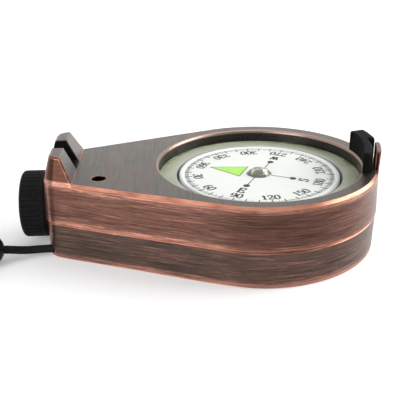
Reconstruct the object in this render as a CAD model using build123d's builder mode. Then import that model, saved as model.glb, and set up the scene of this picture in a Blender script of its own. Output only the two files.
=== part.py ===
from build123d import *
import math
import os

# Pocket sighting compass and clinometer in one teardrop-shaped metal case.
# Millimetres and degrees. +X runs from the eyepiece to the wide end, +Z is up, and the origin is on the
# underside, below the middle of the instrument. Heights are measured from the underside, and distances
# along X and radii from the dial axis, which stands in the middle of the wide end.

# ---- case
rim_radius = 30.0
end_distance = 53.75
end_half_width = 10.45
end_corner_radius = 4.6
lower_height = 9.3
gasket_thickness = 0.2
upper_height = 10.7
draft = 1.6
seam_step = 0.2
seam_chamfer = 0.15
top_chamfer = 0.6
bottom_chamfer = 0.35
gasket_inset = 0.45

# ---- openings and pockets of the case
rim_width = 4.4
window_radius = rim_radius - rim_width
window_edge_round = 0.7
capsule_recess_radius = window_radius + 1.0
underside_radius = window_radius - 3.6
underside_lip = 1.4
lower_pocket_radius = underside_radius + 2.8
light_path_radius = 7.0
drop_in = 0.1
press_in = 0.01
clear_of = 1.0

# ---- compass capsule
window_setback = 0.3
lid_thickness = 1.2
lid_skirt = 1.0
ring_depth = 3.2
ring_thickness = 1.2
flange_thickness = 1.3
capsule_seal_thickness = 0.2
cup_floor = 1.1
cup_bore = window_radius - 4.4
cup_lip = 0.9
cup_shoulder = 1.3

# ---- compass card
card_radius = cup_bore - 0.7
card_depth = 3.4
card_thickness = 0.5
card_rim_height = 0.35
card_rim_width = 1.2
card_skirt_height = 3.4
card_skirt_thickness = 0.6
card_heading = 155.6
hub_radius = 3.2
hub_dome_height = 1.6
hub_stem_radius = 1.9
hub_collar_radius = 2.6
hub_collar_height = 1.4
jewel_radius = 0.9
jewel_height = 1.0
jewel_cup = 0.5
needle_radius = 0.5
needle_base_radius = 2.0
needle_base_height = 0.8
point_gap = 0.07
magnet_length = 14.0
magnet_width = 2.2
magnet_height = 1.4
magnet_spacing = 8.4

# ---- clinometer
lower_window_setback = 0.4
lower_seal_thickness = 0.2
lower_flange = 0.8
lower_cup_flange = 1.0
lower_cup_radius = cup_bore + 1.4
disc_height = 3.2
disc_skirt_top = lower_height - 2.3
disc_hub_radius = 2.2
disc_hub_height = 2.0
small_jewel_height = 0.7
weight_inner_radius = card_radius - 8.5
weight_height = 1.6
weight_angle = 130.0
pad_radius = lower_cup_radius - 0.6

# ---- eyepiece
eyepiece_height = lower_height + 0.9
eyepiece_reach = 6.6
journal_radius = 6.75
barrel_radius = journal_radius + 0.7
barrel_depth = 9.75
barrel_bore = journal_radius - 1.1
barrel_flange_radius = journal_radius + 1.5
barrel_flange = 0.55
ring_radius = journal_radius + 1.75
ring_wall_gap = 0.1
ring_end_wall = 0.65
ring_opening = barrel_bore + 0.25
ring_collar = 0.6
ring_end_round = 1.0
running_gap = 0.05
rib_count = 40
rib_groove_radius = 0.45
rib_groove_depth = 0.24
clip_width = 0.5
clip_half_depth = 0.4
clip_gap_angle = 50.0
clip_from_end = 0.4
cell_front_setback = 0.95
cell_length = 8.8
cell_bore = barrel_bore - 1.0
cell_seat_radius = cell_bore + 0.5
retainer_width = 0.6
retainer_bore = cell_bore - 0.3
lens_edge = 1.0
lens_bulge = 0.6
lens_clear_radius = cell_bore - 0.4
focus_travel = 0.8
focus_angle = 60.0
groove_run_out = 2.0
pin_radius = 0.6
pin_from_end = 3.75
pin_engagement = 0.75
o_ring_width = 1.1
o_ring_depth = 0.75
index_from_axis = capsule_recess_radius + 3.4
index_radius = light_path_radius + 1.6
index_thickness = 0.6
index_window_height = 4.6
index_window_width = 9.0
index_bar = 1.6
index_hair = 0.15

# ---- sights
rear_ear_height = 5.8
rear_ear_lean = 16.0
rear_ear_foot = 46.0
rear_ear_shoulder = 48.8
rear_ear_edge = 0.35
notch_width = 4.9
notch_lining = 0.6
lining_setback = 0.12
front_ear_height = 5.3
front_ear_thickness = 0.9
front_ear_overhang = 0.25
front_ear_start = 5.0
front_ear_end = 20.0
front_ear_edge = 0.2
front_ear_pocket = 0.5
sight_foot_inner = window_radius + 0.35
sight_foot_outer = sight_foot_inner + 2.05
sight_foot_low = 0.15
sight_foot_high = 0.5
sight_foot_start = -24.0
sight_foot_round = 1.6
blade_height = 5.2
blade_thickness = 1.6
blade_start = 1.0
blade_end = 17.0
blade_corner = 0.9
blade_edge = 0.3

# ---- screws
screw_shank_radius = 0.7
screw_head_radius = 1.25
screw_head_height = 0.75
screw_length = 13.6
screw_clearance = 0.1
screw_slot_width = 0.4
screw_slot_depth = 0.35
screw_setback = 0.15
shoulder_screw_x = -capsule_recess_radius - 5.4
shoulder_screw_margin = 4.8
rim_screw_radius = capsule_recess_radius + 1.1
rim_screw_angle = 45.0
trim_x = -40.0
trim_y = -9.3
trim_hole_radius = 1.8
trim_hole_depth = 5.7
trim_slot_angle = 35.0
trim_head_height = 1.4
trim_shank_radius = 0.9
trim_shank_length = 3.5

# ---- lanyard
cord_diameter = 2.1
cord_hole_radius = 1.2
cord_hole_depth = 6.0
cord_exit_y = -9.3
cord_exit_height = 1.8
bend_share = 0.45
cord_pin_radius = 0.6
cord_pin_from_end = 4.3
cord_pin_height = 3.6
bead_radius = 4.15
coil_reach = 33.25
coil_y = -27.6
coil_inner_radius = 8.35
coil_outer_radius = 14.65
coil_height = 3.95
coil_edge = 0.9
knot_radius = 2.3
knot_angle = 112.0

# ---- what follows from these
upper_seam = lower_height + gasket_thickness
case_height = upper_seam + upper_height
dial_x = (end_distance + eyepiece_reach - rim_radius) / 2
end_reach = math.hypot(end_distance, end_half_width)
side_angle = math.asin(rim_radius / end_reach) - math.atan(end_half_width / end_distance)
wall_inset = (upper_height - seam_chamfer - top_chamfer) * math.tan(math.radians(draft))
capsule_radius = window_radius - drop_in
ring_top = case_height - ring_depth
ring_bottom = ring_top - ring_thickness
card_face = case_height - card_depth
cup_floor_top = upper_seam + cup_floor
lower_window_top = underside_lip + lower_seal_thickness + lower_flange
cup_ceiling = lower_height - cup_floor
focus_lead = focus_travel / focus_angle * 360
ring_end = -(end_distance + eyepiece_reach)
ring_back = -(end_distance + barrel_flange + ring_wall_gap)
pin_x = ring_end + pin_from_end

dial_axis = Axis((dial_x, 0, 0), (0, 0, 1))
eyepiece_axis = Axis((dial_x, 0, eyepiece_height), (1, 0, 0))
shoulder_half_width = (rim_radius + shoulder_screw_x * math.sin(side_angle)) / math.cos(side_angle)
shoulder_screw_y = shoulder_half_width - shoulder_screw_margin
rim_screw_x = rim_screw_radius * math.cos(math.radians(rim_screw_angle))
rim_screw_y = rim_screw_radius * math.sin(math.radians(rim_screw_angle))
screw_places = [
    (shoulder_screw_x, shoulder_screw_y),
    (shoulder_screw_x, -shoulder_screw_y),
    (rim_screw_x, rim_screw_y),
    (rim_screw_x, -rim_screw_y),
]


def level(height, heading=0.0):
    """Horizontal plane on the dial axis, with its own X turned to the heading."""
    turn = math.radians(heading)
    return Plane((dial_x, 0, height), x_dir=(math.cos(turn), math.sin(turn), 0), z_dir=(0, 0, 1))


def side_view(height=0.0, offset=0.0):
    """Upright plane along X through the dial axis: local X is the distance along X, local Y the height."""
    return Plane((dial_x, offset, height), x_dir=(1, 0, 0), z_dir=(0, -1, 0))


def cross_view(x, height):
    """Upright plane across the instrument, facing the wide end."""
    return Plane((dial_x + x, 0, height), x_dir=(0, 1, 0), z_dir=(1, 0, 0))


def teardrop(inset):
    """Case outline, set in evenly: round end, straight sides and a narrow end with rounded corners."""
    radius = rim_radius - inset
    end = end_distance - inset
    sine = math.sin(side_angle)
    cosine = math.cos(side_angle)
    half_width = (radius - end * sine) / cosine
    touch = (-radius * sine, radius * cosine)
    with BuildLine() as outline:
        ThreePointArc((touch[0], -touch[1]), (radius, 0), touch)
        Polyline(touch, (-end, half_width), (-end, -half_width), (touch[0], -touch[1]))
    make_face(outline.edges())
    fillet(vertices().group_by(Axis.X)[0], radius=end_corner_radius - inset)


def case_half(seam, inset, height):
    """Solid half of the case: drafted walls away from the seam, and a bevel towards it."""
    with BuildSketch(level(seam)) as plan:
        teardrop(inset)
    extrude(plan.sketch, amount=height, taper=draft)
    extrude(plan.sketch, amount=-math.copysign(seam_chamfer, height), taper=45)


def turn_on_dial(*profile):
    """Body of revolution about the dial axis, from its (radius, height) corners."""
    with BuildSketch(side_view()) as section:
        with BuildLine():
            Polyline(*profile, close=True)
        make_face()
    revolve(section.sketch, axis=dial_axis)


def turn_on_eyepiece(*profile, mode=Mode.ADD):
    """Body of revolution about the eyepiece axis, from its (distance along X, radius) corners."""
    with BuildSketch(side_view(eyepiece_height)) as section:
        with BuildLine():
            Polyline(*profile, close=True)
        make_face()
    revolve(section.sketch, axis=eyepiece_axis, mode=mode)


def sight_block(base, inset):
    """Block over the narrow end, with the leaning walls and the sloping side view of the rear ears."""
    lean = math.tan(math.radians(rear_ear_lean))
    with BuildSketch(level(base)) as plan:
        teardrop(wall_inset + (base - case_height + top_chamfer) * lean + inset)
    extrude(plan.sketch, amount=case_height + rear_ear_height - base, taper=rear_ear_lean)
    with BuildSketch(side_view()) as outline:
        with BuildLine():
            Polyline(
                (-end_distance, base - top_chamfer),
                (-rear_ear_foot - inset, base - top_chamfer),
                (-rear_ear_foot - inset, case_height),
                (-rear_ear_shoulder - inset, case_height + rear_ear_height - inset),
                (-end_distance, case_height + rear_ear_height - inset),
                close=True,
            )
        make_face()
    extrude(outline.sketch, amount=rim_radius, both=True, mode=Mode.INTERSECT)


def on_outside_of_ear(edge):
    """Whether an edge of the rear ears is neither in the notch nor down on the case."""
    reach = min(abs(v.Y) for v in edge.vertices())
    return edge.center().Z > case_height + rear_ear_edge and reach > notch_width / 2 + notch_lining + press_in


def arc_band(inner, outer, start, finish):
    """Face between two radii and two angles about the dial axis."""
    with BuildLine() as outline:
        outer_arc = CenterArc((0, 0), outer, start, finish - start)
        inner_arc = CenterArc((0, 0), inner, start, finish - start)
        Line(outer_arc @ 0, inner_arc @ 0)
        Line(outer_arc @ 1, inner_arc @ 1)
    make_face(outline.edges())


def index_slot(radius, thickness, mode=Mode.ADD):
    """Disc across the light path, for the index frame or its groove."""
    with BuildSketch(cross_view(-index_from_axis - thickness / 2, eyepiece_height)) as disc:
        Circle(radius)
    extrude(disc.sketch, amount=thickness, mode=mode)


def bore_for_optics():
    """Cuts the barrel's bore, the light path behind it and the index frame's groove out of a case half."""
    bore_end = -end_distance + barrel_depth
    turn_on_eyepiece(
        (-end_distance - clear_of, 0), (-end_distance - clear_of, barrel_radius), (bore_end, barrel_radius),
        (bore_end, light_path_radius), (-cup_bore, light_path_radius), (-cup_bore, 0),
        mode=Mode.SUBTRACT,
    )
    index_slot(index_radius + drop_in, index_thickness + drop_in, mode=Mode.SUBTRACT)


# ---------------------------------------------------------------- case

with BuildPart() as rear_ears:
    sight_block(case_height - top_chamfer, 0)
    with BuildSketch(cross_view(-end_distance, case_height + rear_ear_height / 2)):
        Rectangle(notch_width + 2 * notch_lining, 2 * rear_ear_height)
    extrude(amount=end_distance, mode=Mode.SUBTRACT)
    chamfer(edges().filter_by(on_outside_of_ear), length=rear_ear_edge)

# The front ear stands on the near side of the line of sight. On the far side a ledge carries the blade.
with BuildPart() as front_ear:
    ear_foot_radius = rim_radius - wall_inset - press_in
    ear_top = case_height + front_ear_height
    turn_on_dial(
        (ear_foot_radius - front_ear_thickness, case_height - 2 * top_chamfer),
        (ear_foot_radius - front_ear_thickness, ear_top), (ear_foot_radius + front_ear_overhang, ear_top),
        (ear_foot_radius, case_height), (ear_foot_radius, case_height - 2 * top_chamfer),
    )
    with BuildSketch(level(0)):
        arc_band(window_radius, rim_radius, -front_ear_end, -front_ear_start)
    extrude(amount=ear_top, mode=Mode.INTERSECT)
    chamfer(edges().group_by(Axis.Z)[-1], length=front_ear_edge)
    pocket_turn = math.degrees(front_ear_pocket / rim_radius)
    with BuildSketch(level(case_height + front_ear_pocket)):
        arc_band(
            ear_foot_radius - front_ear_thickness + front_ear_edge, ear_foot_radius - front_ear_edge,
            -front_ear_end - pocket_turn, -front_ear_end + pocket_turn,
        )
    extrude(amount=front_ear_height - 2 * front_ear_pocket, mode=Mode.SUBTRACT)

with BuildPart() as blade_ledge:
    with BuildSketch(level(case_height - 2 * top_chamfer)):
        arc_band(sight_foot_outer, ear_foot_radius, blade_start, blade_end)
    extrude(amount=2 * top_chamfer)

with BuildPart() as upper_housing:
    case_half(upper_seam + seam_chamfer, 0, upper_height - seam_chamfer)
    chamfer(edges().group_by(Axis.Z)[-1], length=top_chamfer)
    with BuildSketch(level(case_height)):
        Circle(window_radius)
    extrude(amount=-upper_height, mode=Mode.SUBTRACT)
    window_edge = edges().filter_by(GeomType.CIRCLE).filter_by(
        lambda e: abs(e.radius - window_radius) < press_in and e.center().Z > case_height - press_in
    )
    fillet(window_edge, radius=window_edge_round)
    with BuildSketch(level(upper_seam)):
        Circle(capsule_recess_radius)
    extrude(amount=flange_thickness + capsule_seal_thickness, mode=Mode.SUBTRACT)
    bore_for_optics()
    add(rear_ears.part)
    add(front_ear.part)
    add(blade_ledge.part)
    with BuildSketch(level(case_height)):
        with Locations((trim_x, trim_y)):
            Circle(trim_hole_radius)
    extrude(amount=-trim_hole_depth, mode=Mode.SUBTRACT)
    with BuildSketch(level(case_height - trim_hole_depth)):
        with Locations((trim_x, trim_y)):
            Circle(trim_shank_radius + press_in)
    extrude(amount=-trim_shank_length, mode=Mode.SUBTRACT)
    with BuildSketch(level(upper_seam)):
        with Locations(*screw_places):
            Circle(screw_shank_radius + press_in)
    extrude(amount=screw_length - upper_seam + clear_of, mode=Mode.SUBTRACT)

with BuildPart() as lower_housing:
    case_half(lower_height - seam_chamfer, seam_step, seam_chamfer - lower_height)
    chamfer(edges().group_by(Axis.Z)[0], length=bottom_chamfer)
    with BuildSketch(level(0)):
        Circle(underside_radius)
    extrude(amount=underside_lip, mode=Mode.SUBTRACT)
    with BuildSketch(level(underside_lip)):
        Circle(lower_pocket_radius)
    extrude(amount=lower_height, mode=Mode.SUBTRACT)
    bore_for_optics()
    with BuildSketch(level(0)):
        with Locations(*screw_places):
            Circle(screw_shank_radius + screw_clearance)
    extrude(amount=lower_height, mode=Mode.SUBTRACT)
    with BuildSketch(level(0)):
        with Locations(*screw_places):
            Circle(screw_head_radius + screw_clearance)
    extrude(amount=screw_setback + screw_head_height, mode=Mode.SUBTRACT)
    with BuildSketch(cross_view(-end_distance - clear_of, cord_exit_height)):
        with Locations((cord_exit_y, 0)):
            Circle(cord_hole_radius)
    extrude(amount=cord_hole_depth + clear_of, mode=Mode.SUBTRACT)
    with BuildSketch(level(0)):
        with Locations((-end_distance + cord_pin_from_end, cord_exit_y)):
            Circle(cord_pin_radius + press_in)
    extrude(amount=cord_pin_height, mode=Mode.SUBTRACT)

with BuildPart() as case_gasket:
    with BuildSketch(level(lower_height)):
        teardrop(gasket_inset)
        Circle(lower_pocket_radius, mode=Mode.SUBTRACT)
        with Locations((-(end_distance + cup_bore) / 2, 0)):
            Rectangle(end_distance - cup_bore + clear_of, 2 * (index_radius + drop_in), mode=Mode.SUBTRACT)
        with Locations(*screw_places):
            Circle(screw_shank_radius + screw_clearance, mode=Mode.SUBTRACT)
    extrude(amount=gasket_thickness)

with BuildPart() as case_screws:
    with BuildSketch(level(screw_setback)):
        with Locations(*screw_places):
            Circle(screw_head_radius)
    extrude(amount=screw_head_height)
    with BuildSketch(level(screw_setback + screw_head_height)):
        with Locations(*screw_places):
            Circle(screw_shank_radius)
    extrude(amount=screw_length - screw_head_height)
    with BuildSketch(level(screw_setback)):
        with Locations(*screw_places):
            Rectangle(3 * screw_head_radius, screw_slot_width)
            Rectangle(screw_slot_width, 3 * screw_head_radius)
    extrude(amount=screw_slot_depth, mode=Mode.SUBTRACT)

with BuildPart() as trim_screw:
    with BuildSketch(level(case_height - trim_hole_depth)):
        with Locations((trim_x, trim_y)):
            Circle(trim_hole_radius - drop_in)
    extrude(amount=trim_head_height)
    with BuildSketch(level(case_height - trim_hole_depth)):
        with Locations((trim_x, trim_y)):
            Circle(trim_shank_radius)
    extrude(amount=-trim_shank_length + drop_in)
    with BuildSketch(level(case_height - trim_hole_depth + trim_head_height)):
        with Locations(Location((trim_x, trim_y), trim_slot_angle)):
            Rectangle(2 * trim_hole_radius, screw_slot_width)
    extrude(amount=-screw_slot_depth, mode=Mode.SUBTRACT)

# ---------------------------------------------------------------- compass capsule

with BuildPart() as compass_window:
    lid_top = case_height - window_setback
    turn_on_dial(
        (0, lid_top), (capsule_radius, lid_top), (capsule_radius, ring_top),
        (capsule_radius - lid_skirt, ring_top), (capsule_radius - lid_skirt, lid_top - lid_thickness),
        (0, lid_top - lid_thickness),
    )

with BuildPart() as capsule_ring:
    turn_on_dial(
        (cup_bore + cup_lip, ring_bottom), (capsule_radius, ring_bottom),
        (capsule_radius, ring_top), (cup_bore + cup_lip, ring_top),
    )

with BuildPart() as compass_capsule:
    flange_top = upper_seam + flange_thickness
    flange_radius = capsule_recess_radius - drop_in
    shoulder_radius = cup_bore + cup_lip + cup_shoulder
    turn_on_dial(
        (0, upper_seam), (flange_radius, upper_seam), (flange_radius, flange_top),
        (shoulder_radius, flange_top), (shoulder_radius, ring_bottom), (cup_bore + cup_lip, ring_bottom),
        (cup_bore + cup_lip, ring_top), (cup_bore, ring_top), (cup_bore, cup_floor_top), (0, cup_floor_top),
    )

with BuildPart() as capsule_seal:
    turn_on_dial(
        (window_radius, flange_top), (flange_radius, flange_top),
        (flange_radius, flange_top + capsule_seal_thickness),
        (window_radius, flange_top + capsule_seal_thickness),
    )

# ---------------------------------------------------------------- compass card and its pivot

card_underside = card_face - card_thickness
collar_bottom = card_underside - hub_collar_height
jewel_top = card_underside - point_gap
jewel_bottom = jewel_top - jewel_height
needle_tip = jewel_bottom + jewel_cup - point_gap

with BuildPart() as compass_card:
    rim_top = card_face + card_rim_height
    rim_slope = card_rim_width / 4
    turn_on_dial(
        (hub_stem_radius, card_underside), (hub_stem_radius, card_face),
        (card_radius - card_rim_width, card_face), (card_radius - card_rim_width + rim_slope, rim_top),
        (card_radius - rim_slope, rim_top), (card_radius, card_face),
        (card_radius, card_face - card_skirt_height),
        (card_radius - card_skirt_thickness, card_face - card_skirt_height),
        (card_radius - card_skirt_thickness, card_underside),
    )

with BuildPart() as card_hub:
    with BuildSketch(side_view()):
        with BuildLine():
            dome = RadiusArc(
                (0, card_face + hub_dome_height), (hub_radius, card_face),
                (hub_radius**2 + hub_dome_height**2) / (2 * hub_dome_height),
            )
            Polyline(
                dome @ 1, (hub_stem_radius, card_face), (hub_stem_radius, card_underside),
                (hub_collar_radius, card_underside), (hub_collar_radius, collar_bottom),
                (jewel_radius, collar_bottom), (jewel_radius, jewel_top), (0, jewel_top), dome @ 0,
            )
        make_face()
    revolve(axis=dial_axis)

with BuildPart() as card_jewel:
    turn_on_dial(
        (0, jewel_top), (jewel_radius, jewel_top), (jewel_radius, jewel_bottom),
        (jewel_cup, jewel_bottom), (0, jewel_bottom + jewel_cup),
    )

with BuildPart() as compass_pivot:
    turn_on_dial(
        (0, needle_tip), (needle_radius, needle_tip - needle_radius),
        (needle_radius, cup_floor_top + 2 * needle_base_height),
        (2 * needle_radius, cup_floor_top + needle_base_height),
        (needle_base_radius, cup_floor_top + needle_base_height), (needle_base_radius, cup_floor_top),
        (0, cup_floor_top),
    )

with BuildPart() as card_magnets:
    with BuildSketch(level(card_underside, card_heading)):
        with GridLocations(0, magnet_spacing, 1, 2):
            Rectangle(magnet_length, magnet_width)
    extrude(amount=-magnet_height)

# ---------------------------------------------------------------- clinometer

disc_back = disc_height + card_thickness
small_jewel_radius = jewel_radius

with BuildPart() as clinometer_window:
    turn_on_dial(
        (0, lower_window_setback), (underside_radius - drop_in, lower_window_setback),
        (underside_radius - drop_in, underside_lip + lower_seal_thickness),
        (lower_pocket_radius - drop_in, underside_lip + lower_seal_thickness),
        (lower_pocket_radius - drop_in, lower_window_top), (small_jewel_radius, lower_window_top),
        (small_jewel_radius, lower_window_top - small_jewel_height),
        (0, lower_window_top - small_jewel_height),
    )

with BuildPart() as clinometer_seal:
    turn_on_dial(
        (underside_radius, underside_lip), (lower_pocket_radius - drop_in, underside_lip),
        (lower_pocket_radius - drop_in, underside_lip + lower_seal_thickness),
        (underside_radius, underside_lip + lower_seal_thickness),
    )

with BuildPart() as clinometer_capsule:
    turn_on_dial(
        (0, lower_height), (lower_cup_radius, lower_height),
        (lower_cup_radius, lower_window_top + lower_cup_flange),
        (lower_pocket_radius - drop_in, lower_window_top + lower_cup_flange),
        (lower_pocket_radius - drop_in, lower_window_top), (cup_bore, lower_window_top),
        (cup_bore, cup_ceiling), (small_jewel_radius, cup_ceiling),
        (small_jewel_radius, cup_ceiling + small_jewel_height), (0, cup_ceiling + small_jewel_height),
    )

with BuildPart() as capsule_pad:
    with BuildSketch(level(lower_height)):
        Circle(pad_radius)
    extrude(amount=gasket_thickness)

with BuildPart() as clinometer_disc:
    rim_bottom = disc_height - card_rim_height
    turn_on_dial(
        (needle_radius, disc_height), (card_radius - card_rim_width, disc_height),
        (card_radius - card_rim_width + rim_slope, rim_bottom), (card_radius - rim_slope, rim_bottom),
        (card_radius, disc_height), (card_radius, disc_skirt_top),
        (card_radius - card_skirt_thickness, disc_skirt_top), (card_radius - card_skirt_thickness, disc_back),
        (disc_hub_radius, disc_back), (disc_hub_radius, disc_back + disc_hub_height),
        (needle_radius, disc_back + disc_hub_height),
    )

with BuildPart() as clinometer_weight:
    with BuildSketch(level(disc_back, -90)):
        arc_band(weight_inner_radius, card_radius - card_skirt_thickness, -weight_angle / 2, weight_angle / 2)
    extrude(amount=weight_height)

with BuildPart() as clinometer_axle:
    lower_point = lower_window_top - jewel_cup + point_gap
    upper_point = cup_ceiling + jewel_cup - point_gap
    turn_on_dial(
        (0, lower_point), (needle_radius, lower_point + needle_radius),
        (needle_radius, upper_point - needle_radius), (0, upper_point),
    )

with BuildPart() as clinometer_jewels:
    turn_on_dial(
        (0, lower_window_top - small_jewel_height),
        (small_jewel_radius, lower_window_top - small_jewel_height),
        (small_jewel_radius, lower_window_top), (jewel_cup, lower_window_top),
        (0, lower_window_top - jewel_cup),
    )
    turn_on_dial(
        (0, cup_ceiling + small_jewel_height), (small_jewel_radius, cup_ceiling + small_jewel_height),
        (small_jewel_radius, cup_ceiling), (jewel_cup, cup_ceiling), (0, cup_ceiling + jewel_cup),
    )

# ---------------------------------------------------------------- eyepiece

barrel_inner_end = -end_distance + barrel_depth
journal_start = -end_distance - barrel_flange
clip_x = ring_end + ring_end_wall + clip_from_end + clip_width / 2
barrel_outer_end = ring_end + ring_end_wall + ring_wall_gap
o_ring_x = -end_distance + barrel_depth / 2
cell_front = ring_end + cell_front_setback
lens_back = cell_front + retainer_width + lens_edge
groove_half = pin_radius + running_gap

with BuildPart() as eyepiece_barrel:
    turn_on_eyepiece(
        (barrel_inner_end, barrel_bore), (barrel_inner_end, barrel_radius - press_in),
        (o_ring_x + o_ring_width / 2, barrel_radius - press_in),
        (o_ring_x + o_ring_width / 2, barrel_radius - o_ring_depth),
        (o_ring_x - o_ring_width / 2, barrel_radius - o_ring_depth),
        (o_ring_x - o_ring_width / 2, barrel_radius - press_in),
        (-end_distance, barrel_radius - press_in), (-end_distance, barrel_flange_radius),
        (journal_start, barrel_flange_radius), (journal_start, journal_radius),
        (clip_x + clip_width / 2 + running_gap, journal_radius),
        (clip_x + clip_width / 2 + running_gap, journal_radius - clip_half_depth),
        (clip_x - clip_width / 2 - running_gap, journal_radius - clip_half_depth),
        (clip_x - clip_width / 2 - running_gap, journal_radius),
        (barrel_outer_end, journal_radius), (barrel_outer_end, barrel_bore),
    )
    with BuildSketch(level(eyepiece_height)):
        with Locations((pin_x, 0)):
            SlotOverall(2 * (focus_travel + groove_half), 2 * groove_half)
    extrude(amount=ring_radius, mode=Mode.SUBTRACT)

with BuildPart() as barrel_seal:
    turn_on_eyepiece(
        (o_ring_x + o_ring_width / 2, barrel_radius - o_ring_depth),
        (o_ring_x + o_ring_width / 2, barrel_radius - press_in),
        (o_ring_x - o_ring_width / 2, barrel_radius - press_in),
        (o_ring_x - o_ring_width / 2, barrel_radius - o_ring_depth),
    )

# Helical groove inside the focus ring, that pushes the pin of the lens cell along the barrel's slot. It runs
# on a little past the pin's travel, which the ends of the slot stop.
groove_angle = focus_angle + groove_run_out + math.degrees(groove_half / journal_radius)
groove_length = focus_lead * 2 * groove_angle / 360
groove_depth = clip_half_depth + pin_engagement + running_gap
groove_path = Helix(
    pitch=focus_lead, height=groove_length,
    radius=journal_radius + pin_engagement + running_gap - groove_depth / 2,
    center=(dial_x + pin_x - groove_length / 2, 0, eyepiece_height), direction=(1, 0, 0),
).rotate(eyepiece_axis, -groove_angle)
groove_section = Plane(
    groove_path @ 0, x_dir=(0, math.sin(math.radians(groove_angle)), math.cos(math.radians(groove_angle))),
    z_dir=groove_path % 0,
)

with BuildPart() as focus_ring:
    turn_on_eyepiece(
        (ring_back, journal_radius + running_gap), (ring_back, ring_radius), (ring_end, ring_radius),
        (ring_end, ring_opening), (ring_end + ring_end_wall, ring_opening),
        (ring_end + ring_end_wall, journal_radius + running_gap),
        (clip_x - clip_width / 2 - running_gap, journal_radius + running_gap),
        (clip_x - clip_width / 2 - running_gap, journal_radius + running_gap + clip_half_depth),
        (clip_x + clip_width / 2 + running_gap, journal_radius + running_gap + clip_half_depth),
        (clip_x + clip_width / 2 + running_gap, journal_radius + running_gap),
    )
    outer_rim = edges().filter_by(GeomType.CIRCLE).filter_by(
        lambda e: abs(e.radius - ring_radius) < press_in
    ).sort_by(Axis.X)[0]
    fillet(outer_rim, radius=ring_end_round)
    with BuildSketch(cross_view(ring_end - clear_of, eyepiece_height)):
        with PolarLocations(ring_radius + rib_groove_radius - rib_groove_depth, rib_count):
            Circle(rib_groove_radius)
    extrude(amount=ring_back - ring_collar - ring_end + clear_of, mode=Mode.SUBTRACT)
    with BuildSketch(groove_section):
        Rectangle(groove_depth, 2 * groove_half)
    sweep(path=groove_path, is_frenet=True, mode=Mode.SUBTRACT)

with BuildPart() as ring_clip:
    turn_on_eyepiece(
        (clip_x - clip_width / 2, journal_radius - clip_half_depth + running_gap),
        (clip_x - clip_width / 2, journal_radius + clip_half_depth),
        (clip_x + clip_width / 2, journal_radius + clip_half_depth),
        (clip_x + clip_width / 2, journal_radius - clip_half_depth + running_gap),
    )
    with BuildSketch(cross_view(clip_x - clip_width, eyepiece_height)):
        with BuildLine():
            gap_side = 2 * ring_radius * math.tan(math.radians(clip_gap_angle / 2))
            Polyline((0, 0), (gap_side, -2 * ring_radius), (-gap_side, -2 * ring_radius), close=True)
        make_face()
    extrude(amount=2 * clip_width, mode=Mode.SUBTRACT)

with BuildPart() as lens_cell:
    turn_on_eyepiece(
        (cell_front, cell_seat_radius), (cell_front, barrel_bore - running_gap),
        (cell_front + cell_length, barrel_bore - running_gap), (cell_front + cell_length, cell_bore),
        (lens_back, cell_bore), (lens_back, cell_seat_radius),
    )
    with BuildSketch(level(eyepiece_height)):
        with Locations((pin_x, 0)):
            Circle(pin_radius)
    extrude(amount=ring_radius, mode=Mode.SUBTRACT)

with BuildPart() as focus_pin:
    with BuildSketch(level(eyepiece_height + cell_bore + running_gap)):
        with Locations((pin_x, 0)):
            Circle(pin_radius)
    extrude(amount=journal_radius + pin_engagement - cell_bore - running_gap)

with BuildPart() as eyepiece_lens:
    lens_front = cell_front + retainer_width
    lens_radius = cell_seat_radius - press_in
    with BuildSketch(side_view(eyepiece_height)):
        with BuildLine():
            face_radius = (lens_clear_radius**2 + lens_bulge**2) / (2 * lens_bulge)
            front_face = RadiusArc((lens_front - lens_bulge, 0), (lens_front, lens_clear_radius), face_radius)
            back_face = RadiusArc((lens_back, lens_clear_radius), (lens_back + lens_bulge, 0), face_radius)
            Polyline(
                front_face @ 1, (lens_front, lens_radius), (lens_back, lens_radius), back_face @ 0,
            )
            Line(back_face @ 1, front_face @ 0)
        make_face()
    revolve(axis=eyepiece_axis)

with BuildPart() as lens_retainer:
    turn_on_eyepiece(
        (cell_front, retainer_bore), (cell_front, lens_radius), (lens_front, lens_radius),
        (lens_front, cell_bore), (cell_front + retainer_width / 2, retainer_bore),
    )

with BuildPart() as index_frame:
    index_slot(index_radius, index_thickness)
    with BuildSketch(cross_view(-index_from_axis - index_thickness, eyepiece_height)):
        with GridLocations(0, index_window_height + index_bar, 1, 2):
            Rectangle(index_window_width, index_window_height)
        Rectangle(index_hair, 2 * index_radius, mode=Mode.SUBTRACT)
    extrude(amount=2 * index_thickness, mode=Mode.SUBTRACT)

# ---------------------------------------------------------------- sights

with BuildPart() as rear_sight_insert:
    sight_block(case_height, lining_setback)
    with BuildSketch(cross_view(-end_distance, case_height + rear_ear_height / 2)):
        Rectangle(notch_width + 2 * notch_lining, rear_ear_height)
    extrude(amount=end_distance, mode=Mode.INTERSECT)
    with BuildSketch(cross_view(-end_distance, case_height + notch_lining + rear_ear_height)):
        Rectangle(notch_width, 2 * rear_ear_height)
    extrude(amount=end_distance, mode=Mode.SUBTRACT)

with BuildPart() as front_sight:
    foot_top = case_height + sight_foot_high
    turn_on_dial(
        (sight_foot_inner, case_height), (sight_foot_inner, case_height + sight_foot_low),
        (sight_foot_outer, foot_top), (sight_foot_outer, case_height),
    )
    with BuildSketch(level(case_height)) as foot_plan:
        arc_band(sight_foot_inner, sight_foot_outer, sight_foot_start, blade_end)
        fillet(vertices().group_by(Axis.Y)[0], radius=sight_foot_round)
    extrude(foot_plan.sketch, amount=blade_height, mode=Mode.INTERSECT)
    with BuildSketch(level(case_height)):
        arc_band(sight_foot_outer, sight_foot_outer + blade_thickness, blade_start, blade_end)
    extrude(amount=blade_height)
    top_corners = edges().filter_by(GeomType.LINE).group_by(Axis.Z)[-1]
    fillet(top_corners, radius=blade_corner)
    fillet(edges().group_by(Axis.Z)[-1], radius=blade_edge)

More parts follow.
